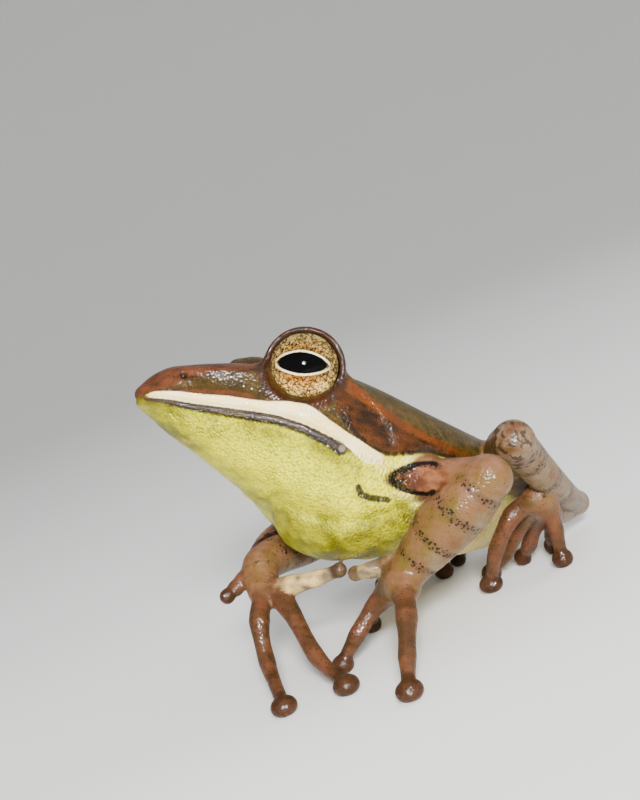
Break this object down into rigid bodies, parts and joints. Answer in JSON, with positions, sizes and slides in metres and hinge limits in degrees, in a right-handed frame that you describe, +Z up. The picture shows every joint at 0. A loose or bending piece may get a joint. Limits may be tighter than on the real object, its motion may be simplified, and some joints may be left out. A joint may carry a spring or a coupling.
{
  "type": "saddled tree frog",
  "caption": "Saddled tree frog, life size and still, standing on the round pads of its fingers and toes, head raised and turned to its right.",
  "frame": {"origin": "centre of the outline seen from above, at the level of the flats under the pads", "axes": "+Z up, -Y the way the trunk faces, +X the frog's left side"},
  "size_m": [0.0342, 0.049, 0.0335],
  "materials": {
    "back_skin": "moist, tan with dark flecks",
    "limb_skin": "moist, pinkish brown with dark flecks",
    "eye": "wet gloss, gold iris with a level black pupil"
  },
  "bodies": {
    "root": {"head": "back_skin", "torso": "back_skin", "eye_left": "eye", "eye_right": "eye", "upper_arm_left": "limb_skin", "forearm_left": "limb_skin", "hand_left": "limb_skin", "thigh_left": "limb_skin", "shank_left": "limb_skin", "foot_left": "limb_skin", "upper_arm_right": "limb_skin", "forearm_right": "limb_skin", "hand_right": "limb_skin", "thigh_right": "limb_skin", "shank_right": "limb_skin", "foot_right": "limb_skin"}
  },
  "joints": []
}
